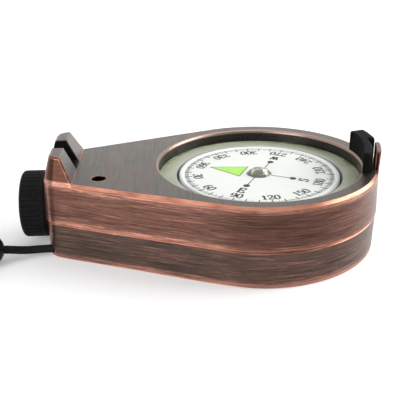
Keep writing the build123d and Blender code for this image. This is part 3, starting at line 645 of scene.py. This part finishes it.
# The dial's figures and letters, on a square as high as they are: the width, then the points of each stroke.
GLYPHS = {
    "0": (0.56, [[(0.28, 1), (0.1, 0.86), (0.03, 0.5), (0.1, 0.14), (0.28, 0), (0.46, 0.14), (0.53, 0.5),
                  (0.46, 0.86), (0.28, 1)]]),
    "1": (0.5, [[(0.27, 0.02), (0.27, 0.98)], [(0.27, 0.98), (0.09, 0.82)], [(0.08, 0.02), (0.46, 0.02)]]),
    "2": (0.56, [[(0.06, 0.74), (0.1, 0.92), (0.27, 1), (0.46, 0.9), (0.49, 0.72), (0.38, 0.5), (0.18, 0.25),
                  (0.04, 0.05)], [(0.04, 0.04), (0.51, 0.04)], [(0.5, 0.02), (0.53, 0.2)]]),
    "3": (0.56, [[(0.07, 0.8), (0.15, 0.95), (0.3, 1), (0.45, 0.9), (0.47, 0.72), (0.38, 0.57), (0.2, 0.53)],
                 [(0.2, 0.53), (0.4, 0.49), (0.51, 0.32), (0.48, 0.12), (0.3, 0), (0.12, 0.04),
                  (0.05, 0.18)]]),
    "4": (0.58, [[(0.4, 0.02), (0.4, 0.98)], [(0.4, 0.98), (0.03, 0.3)], [(0.03, 0.29), (0.56, 0.29)],
                 [(0.26, 0.02), (0.53, 0.02)]]),
    "5": (0.56, [[(0.12, 0.97), (0.48, 0.97)], [(0.12, 0.98), (0.08, 0.55)],
                 [(0.08, 0.55), (0.27, 0.63), (0.45, 0.54), (0.52, 0.33), (0.44, 0.1), (0.25, 0),
                  (0.09, 0.05), (0.04, 0.18)]]),
    "6": (0.56, [[(0.47, 0.86), (0.35, 0.99), (0.18, 0.88), (0.05, 0.6), (0.04, 0.3), (0.13, 0.06), (0.29, 0),
                  (0.46, 0.1), (0.52, 0.31), (0.44, 0.52), (0.28, 0.58), (0.1, 0.46), (0.05, 0.33)]]),
    "7": (0.56, [[(0.05, 0.96), (0.52, 0.96)], [(0.05, 0.98), (0.03, 0.78)],
                 [(0.52, 0.96), (0.34, 0.55), (0.24, 0.02)]]),
    "8": (0.56, [[(0.28, 1), (0.11, 0.9), (0.1, 0.7), (0.28, 0.54), (0.5, 0.36), (0.52, 0.16), (0.28, 0),
                  (0.05, 0.15), (0.06, 0.36), (0.28, 0.54), (0.46, 0.72), (0.45, 0.9), (0.28, 1)]]),
    "E": (0.7, [[(0.14, 0.02), (0.14, 0.98)], [(0.02, 0.98), (0.58, 0.98)], [(0.02, 0.02), (0.62, 0.02)],
                [(0.14, 0.52), (0.44, 0.52)], [(0.58, 1), (0.59, 0.76)], [(0.62, 0), (0.64, 0.26)],
                [(0.44, 0.62), (0.44, 0.42)]]),
    "S": (0.6, [[(0.5, 0.76), (0.45, 0.93), (0.28, 1), (0.1, 0.9), (0.09, 0.7), (0.25, 0.57), (0.45, 0.43),
                 (0.52, 0.26), (0.42, 0.06), (0.25, 0), (0.08, 0.08), (0.04, 0.26)],
                [(0.5, 0.76), (0.51, 1)], [(0.04, 0.26), (0.03, 0)]]),
    "W": (0.95, [[(0.07, 0.98), (0.27, 0.02)], [(0.27, 0.02), (0.46, 0.98)], [(0.46, 0.98), (0.66, 0.02)],
                 [(0.66, 0.02), (0.86, 0.98)], [(-0.03, 0.98), (0.18, 0.98)], [(0.76, 0.98), (0.96, 0.98)]]),
}
GLYPHS["9"] = (GLYPHS["6"][0], [[(0.56 - x, 1 - y) for x, y in stroke] for stroke in GLYPHS["6"][1]])
LETTER_GAP = 0.12
PEN_ANGLE = math.radians(15)
PEN_THIN = 0.05
PEN_THICK = 0.17
STEPS_PER_POINT = 4
DOT_SIDES = 20
PRINT_LIFT = 0.01
PRINT_THICKNESS = 0.03


def towards(heading):
    """Direction on a disc from its angle in degrees."""
    return Vector((math.cos(math.radians(heading)), math.sin(math.radians(heading))))


def smooth_line(points):
    """Catmull-Rom line through points, or the two ends of a straight stroke."""
    knots = [Vector(point) for point in points]
    if len(knots) == 2:
        return knots
    is_closed = points[0] == points[-1]
    before = knots[-2] if is_closed else 2 * knots[0] - knots[1]
    after = knots[1] if is_closed else 2 * knots[-1] - knots[-2]
    knots = [before] + knots + [after]
    line = []
    for a, b, c, d in zip(knots, knots[1:], knots[2:], knots[3:]):
        for step in range(STEPS_PER_POINT):
            t = step / STEPS_PER_POINT
            line.append(0.5 * (2 * b + (c - a) * t + (2 * a - 5 * b + 4 * c - d) * t**2
                               + (3 * b - a - 3 * c + d) * t**3))
    line.append(knots[-2])
    return line


def run_at(line, index):
    """Vector from the point before to the point after."""
    return line[min(index + 1, len(line) - 1)] - line[max(index - 1, 0)]


class Print:
    """Flat ink on a disc, as thin solids, in millimetres from the disc's middle and up from its face."""

    def __init__(self):
        self.mesh = bmesh.new()

    def solid(self, corners, lift=PRINT_LIFT):
        low = [self.mesh.verts.new((x, y, lift)) for x, y in corners]
        high = [self.mesh.verts.new((x, y, lift + PRINT_THICKNESS)) for x, y in corners]
        self.mesh.faces.new(high)
        self.mesh.faces.new(low[::-1])
        for index in range(len(corners)):
            other = (index + 1) % len(corners)
            self.mesh.faces.new((low[index], low[other], high[other], high[index]))

    def ribbon(self, line, widths):
        """Strip of a changing width along a line."""
        rows = []
        for index, point in enumerate(line):
            ahead = run_at(line, index).normalized()
            across = Vector((-ahead.y, ahead.x)) * widths[index] / 2
            rows.append([self.mesh.verts.new((*side, PRINT_LIFT + rise))
                         for side in (point + across, point - across) for rise in (0, PRINT_THICKNESS)])
        for near, far in zip(rows, rows[1:]):
            for a, b in ((0, 1), (1, 3), (3, 2), (2, 0)):
                self.mesh.faces.new((near[a], near[b], far[b], far[a]))
        first, last = rows[0], rows[-1]
        self.mesh.faces.new((first[0], first[2], first[3], first[1]))
        self.mesh.faces.new((last[0], last[1], last[3], last[2]))

    def text(self, letters, heading, radius, height, weight=1.0):
        """Letters whose tops point to the middle of the disc."""
        out = towards(heading)
        up = -out
        right = Vector((up.y, -up.x))
        start = -(sum(GLYPHS[letter][0] for letter in letters) + LETTER_GAP * (len(letters) - 1)) / 2
        for letter in letters:
            glyph_width, strokes = GLYPHS[letter]
            for stroke in strokes:
                pen = smooth_line(stroke)
                widths = []
                for index in range(len(pen)):
                    run = run_at(pen, index)
                    turn = math.sin(math.atan2(run.y, run.x) - PEN_ANGLE)
                    widths.append(height * weight * (PEN_THIN + (PEN_THICK - PEN_THIN) * abs(turn)))
                self.ribbon([out * radius + right * (start + p.x) * height + up * (p.y - 0.5) * height
                             for p in pen], widths)
            start += glyph_width + LETTER_GAP

    def ray(self, heading, inner, outer, width):
        self.ribbon([towards(heading) * inner, towards(heading) * outer], [width, width])

    def dot(self, heading, radius, size):
        self.solid([towards(heading) * radius + towards(360 * step / DOT_SIDES) * size
                    for step in range(DOT_SIDES)])

    def finish(self, name, material, place, body):
        bmesh.ops.recalc_face_normals(self.mesh, faces=self.mesh.faces)
        self.mesh.transform(place)
        mesh = bpy.data.meshes.new(name)
        self.mesh.to_mesh(mesh)
        self.mesh.free()
        mesh.materials.append(material)
        piece = bpy.data.objects.new(name, mesh)
        bpy.context.collection.objects.link(piece)
        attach(piece, body)


# How far the scale rims rise above the faces that carry the print.
RIM_RISE = 0.35
CARD_PLACE = Matrix.Translation((DIAL_X, 0, top("compass_card") - RIM_RISE * MM)) @ Matrix.Scale(MM, 4)
DISC_PLACE = (Matrix.Translation((DIAL_X, 0, bottom("clinometer_disc") + RIM_RISE * MM))
              @ Matrix.Rotation(math.pi, 4, "X") @ Matrix.Scale(MM, 4))

# Headings in degrees. Figures have a radius, a height and a weight. Rays and ticks go from one radius to
# another and have a width. Dots have a radius and a size.
NORTH = 153.4
CARD_FIGURES = (15.75, 2.35, 1.15)
LETTERS = ((90, "E", 12.25, 2.8), (180, "S", 11.9, 2.5), (270, "W", 12.3, 2.3))
LETTER_WEIGHT = 1.3
LETTER_RAY = (3.3, 9.0, 0.24)
LETTER_DOT = (9.05, 0.85)
LONG_TICK = (17.25, 19.15, 0.25)
MIDDLE_TICK = (17.6, 19.1, 0.12)
SHORT_TICK = (18.1, 19.1, 0.12)
ARROW_HEADING = 156.0
# Tip, base, half of the width and lift.
ARROW_OUTLINE = (13.6, 4.05, 3.65, PRINT_LIFT)
ARROW_FILL = (13.0, 4.25, 3.35, PRINT_LIFT + 0.6 * PRINT_THICKNESS)
DISC_FIGURES = (15.4, 2.4)
DISC_LONG_TICK = (16.9, 19.1, 0.2)
DISC_MIDDLE_TICK = (17.6, 19.1, 0.2)
DISC_SHORT_TICK = (18.1, 19.1, 0.1)


def arrow(name, material, tip, base, half_width, lift):
    """Flat pointer towards north."""
    piece = Print()
    out = towards(ARROW_HEADING)
    side = Vector((-out.y, out.x))
    piece.solid([out * tip, out * base + side * half_width, out * base - side * half_width], lift)
    piece.finish(name, material, CARD_PLACE, "card")


def print_card():
    """Degrees, letters, scale and north arrow of the compass card."""
    figures = Print()
    for step in range(12):
        figures.text(str(30 * step or 360), NORTH + 30 * step, *CARD_FIGURES)
    for turn, letter, radius, height in LETTERS:
        figures.text(letter, NORTH + turn, radius, height, LETTER_WEIGHT)
        figures.ray(NORTH + turn, *LETTER_RAY)
        figures.dot(NORTH + turn, *LETTER_DOT)
    for step in range(36):
        figures.ray(NORTH + 10 * step, *LONG_TICK)
    figures.finish("card_figures", black_ink, CARD_PLACE, "card")

    fine_scale = Print()
    for degree in range(360):
        if degree % 10:
            fine_scale.ray(NORTH + degree, *(SHORT_TICK if degree % 5 else MIDDLE_TICK))
    fine_scale.finish("card_fine_scale", grey_ink, CARD_PLACE, "card")

    arrow("card_arrow_outline", black_ink, *ARROW_OUTLINE)
    arrow("card_arrow", green_ink, *ARROW_FILL)


def print_disc():
    """Slopes from 0 to 90 and back, and the scale of the clinometer disc."""
    slopes = Print()
    for step in range(12):
        slopes.text(str(abs((30 * step + 90) % 180 - 90)), 30 * step, *DISC_FIGURES)
    for step in range(180):
        tick = DISC_SHORT_TICK if step % 5 else DISC_MIDDLE_TICK if step % 15 else DISC_LONG_TICK
        slopes.ray(2 * step, *tick)
    slopes.finish("disc_figures", black_ink, DISC_PLACE, "disc")


black_ink = satin("ink_black", (0.012, 0.012, 0.013), (0.022, 0.022, 0.024), grain=900, roughness=0.5)
grey_ink = satin("ink_grey", (0.30, 0.31, 0.34), (0.36, 0.37, 0.40), grain=900, roughness=0.5)
green_ink = satin("ink_green", (0.42, 0.80, 0.12), (0.47, 0.86, 0.16), grain=500, roughness=0.5)
print_card()
print_disc()


# ---------------------------------------------------------------- cord

# In millimetres, with the length in metres. The cord's places are given by how far they lie beyond the end of
# the case, across it and above the floor.
CORD_DIAMETER = 2.1
CORD_ROUTE = [
    (-4.15, -9.3, 1.8),
    (0.65, -9.3, 1.78),
    (5.45, -10.3, 1.9),
    (9.85, -12.9, 3.7),
    (17.85, -14.9, 4.6),
    (24.05, -14.9, 2.2),
    (29.25, -14.2, 1.1),
]
COIL_REACH = 33.25
COIL_Y = -27.6
COIL_START_ANGLE = 73.4
COIL_OUTER = 13.6
COIL_TURNS_EACH_WAY = 2
COIL_POINTS_PER_TURN = 16
COIL_LAYER_RISE = 2.15
COIL_CLIMB = 0.22
FLOOR_GAP = 0.02
# Angle about the coil, radius and height.
KNOT_APPROACH = ((92.0, 14.6, 3.15), (102.0, 16.0, 2.8), (110.0, 16.6, 2.4))
CURVE_STEPS = 16
PATH_STEP = 1.0
BRAID_AROUND = 36
BRAID_STRANDS = 6
BRAID_PITCH = 1.5
BRAID_STEP = 0.3
BRAID_DEPTH = 0.13
BRAID_ROUNDNESS = 0.6
KNOT_RADIUS = 2.3
KNOT_TUBE = 0.78
KNOT_AROUND = 24
KNOT_DEPTH = 0.08
KNOT_HEIGHT = 1.55
KNOT_STEPS = 150


def beyond_end(beyond, y, z):
    """Point from its distance beyond the end of the case, its place across it and its height."""
    return at_dial(-END_REACH - beyond, y, z)


def about_coil(angle, radius, height):
    turn = math.radians(angle)
    return beyond_end(COIL_REACH - radius * math.cos(turn), COIL_Y + radius * math.sin(turn), height)


def coil_points():
    """Turns of the coil: inwards on the floor, then outwards on top of them."""
    points = []
    for step in range(1, 2 * COIL_TURNS_EACH_WAY * COIL_POINTS_PER_TURN + 1):
        turn = step / COIL_POINTS_PER_TURN
        inwards = min(turn, COIL_TURNS_EACH_WAY)
        outwards = max(0.0, turn - COIL_TURNS_EACH_WAY)
        radius = COIL_OUTER - CORD_DIAMETER * (inwards - outwards)
        height = CORD_DIAMETER / 2 + FLOOR_GAP + COIL_LAYER_RISE * min(1.0, outwards / COIL_CLIMB)
        points.append(about_coil(COIL_START_ANGLE + 360 * turn, radius, height))
    return points


def cord_line():
    """Points along the cord's smooth centreline."""
    route = ([beyond_end(*place) for place in CORD_ROUTE] + coil_points()
             + [about_coil(*place) for place in KNOT_APPROACH])
    curve = bpy.data.curves.new("cord_line", "CURVE")
    curve.dimensions = "3D"
    spline = curve.splines.new("NURBS")
    spline.points.add(len(route) - 1)
    for point, place in zip(spline.points, route):
        point.co = (*place, 1)
    spline.order_u = 3
    spline.use_endpoint_u = True
    spline.resolution_u = CURVE_STEPS
    holder = bpy.data.objects.new("cord_line", curve)
    bpy.context.collection.objects.link(holder)
    bpy.context.view_layer.update()
    mesh = bpy.data.meshes.new_from_object(holder.evaluated_get(bpy.context.evaluated_depsgraph_get()))
    points = [vertex.co.copy() for vertex in mesh.vertices]
    bpy.data.objects.remove(holder)
    bpy.data.curves.remove(curve)
    bpy.data.meshes.remove(mesh)
    return points


def evenly(points, step):
    """The same line with points an even step apart."""
    spaced = [points[0]]
    left = step
    for start, end in zip(points, points[1:]):
        run = (end - start).length
        while run > left:
            start = start.lerp(end, left / run)
            spaced.append(start)
            run -= left
            left = step
        left -= run
    return spaced


def tube(name, line, around, radius_at, closed=False):
    """Mesh tube along a line; radius_at(share of a turn, distance along) gives its radius in metres."""
    count = len(line)
    mesh = bmesh.new()
    rings = []
    side = None
    along = 0.0
    for index, point in enumerate(line):
        ahead = line[(index + 1) % count if closed else min(index + 1, count - 1)]
        behind = line[index - 1 if closed else max(index - 1, 0)]
        tangent = (ahead - behind).normalized()
        if side is None:
            side = tangent.orthogonal()
        side = (side - tangent * side.dot(tangent)).normalized()
        other = tangent.cross(side)
        along += (point - line[index - 1]).length if index else 0.0
        ring = []
        for step in range(around):
            turn = 2 * math.pi * step / around
            reach = radius_at(step / around, along)
            ring.append(mesh.verts.new(point + (side * math.cos(turn) + other * math.sin(turn)) * reach))
        rings.append(ring)
    pairs = list(zip(rings, rings[1:]))
    if closed:
        shift = min(range(around), key=lambda k: (rings[0][k].co - rings[-1][0].co).length)
        pairs.append((rings[-1], rings[0][shift:] + rings[0][:shift]))
    else:
        mesh.faces.new(rings[0][::-1])
        mesh.faces.new(rings[-1])
    for near, far in pairs:
        for step in range(around):
            other = (step + 1) % around
            mesh.faces.new((near[step], near[other], far[other], far[step]))
    bmesh.ops.recalc_face_normals(mesh, faces=mesh.faces)
    data = bpy.data.meshes.new(name)
    mesh.to_mesh(data)
    mesh.free()
    for face in data.polygons:
        face.use_smooth = len(face.vertices) == 4
    piece = bpy.data.objects.new(name, data)
    bpy.context.collection.objects.link(piece)
    return piece


def braid(full_radius, depth):
    """Radius of a braided cord: the crests of two families of strands that cross."""
    def radius_at(share, along):
        first = math.cos(math.pi * (BRAID_STRANDS * share + along / (BRAID_PITCH * MM)))
        second = math.cos(math.pi * (BRAID_STRANDS * share - along / (BRAID_PITCH * MM)))
        crest = abs(first * second) ** BRAID_ROUNDNESS
        return (full_radius - depth * (1 - crest)) * MM
    return radius_at


def make_knot():
    """Overhand knot drawn into a ball, where the cord ends."""
    centre = middle("lanyard_knot")
    line = []
    for step in range(KNOT_STEPS):
        turn = 2 * math.pi * step / KNOT_STEPS
        place = Vector((math.sin(turn) + 2 * math.sin(2 * turn), math.cos(turn) - 2 * math.cos(2 * turn),
                        -KNOT_HEIGHT * math.sin(3 * turn)))
        line.append(centre + place * (KNOT_RADIUS - KNOT_TUBE) / 3 * MM)
    return tube("cord_knot", line, KNOT_AROUND, braid(KNOT_TUBE, KNOT_DEPTH), closed=True)


centreline = cord_line()
cord = tube("cord", evenly(centreline, BRAID_STEP * MM), BRAID_AROUND, braid(CORD_DIAMETER / 2, BRAID_DEPTH))
knot = make_knot()
braided = moulding("cord_braid", (0.012, 0.012, 0.012), (0.03, 0.03, 0.03), roughness=0.62, grain=2600,
                   edge_reach=0.1)
for piece in (cord, knot):
    piece.data.materials.append(braided)
    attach(piece, "case")
dress(moulding("bead_gloss", (0.010, 0.010, 0.010), (0.03, 0.03, 0.03), roughness=0.16, grain=300,
               edge_reach=0.2),
      "lanyard_bead")
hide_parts("lanyard_cord", "lanyard_coil")
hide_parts("lanyard_knot")
evenly(centreline, PATH_STEP * MM)
